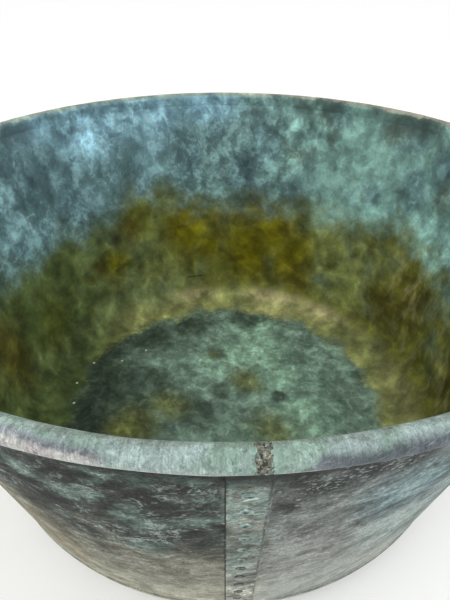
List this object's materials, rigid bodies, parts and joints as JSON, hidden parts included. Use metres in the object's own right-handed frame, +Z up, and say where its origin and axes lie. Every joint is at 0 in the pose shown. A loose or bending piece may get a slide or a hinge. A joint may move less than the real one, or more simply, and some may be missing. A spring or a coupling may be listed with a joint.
{
  "type": "riveted copper vessel",
  "caption": "Open tapering copper vessel with a dished flat-bottomed pan, a riveted lap seam up the wall and a rolled rim band closed over a rod.",
  "frame": {"origin": "centre of the pan's flat underside", "axes": "+Z up along the vessel's axis; the riveted lap seam faces -Y; +X to the right of the seam"},
  "size_m": [0.7996, 0.7996, 0.4021],
  "materials": {
    "wall_copper": "rolled copper sheet, weathered: charcoal with drawn streaks outside, teal and olive verdigris inside",
    "pan_copper": "raised copper, weathered: dark teal with mint and olive blotches and a pale mineral ring",
    "rim_copper": "pale mint verdigris, worn chalky and pinkish, dark underneath",
    "rivet_copper": "low hammered heads with dark worn crowns and pale verdigris round them",
    "braze": "rough granular brass spelter",
    "rod_iron": "plain iron rod, closed inside the rim"
  },
  "bodies": {
    "root": {"wall_sheet": "wall_copper", "base_pan": "pan_copper", "base_seam_braze": "braze", "rim_band": "rim_copper", "rim_joint_braze": "braze", "rim_rod": "rod_iron", "seam_rivet_01": "rivet_copper", "seam_rivet_02": "rivet_copper", "seam_rivet_03": "rivet_copper", "seam_rivet_04": "rivet_copper", "seam_rivet_05": "rivet_copper", "seam_rivet_06": "rivet_copper", "seam_rivet_07": "rivet_copper", "seam_rivet_08": "rivet_copper", "seam_rivet_09": "rivet_copper", "seam_rivet_10": "rivet_copper", "seam_rivet_11": "rivet_copper"}
  },
  "joints": []
}
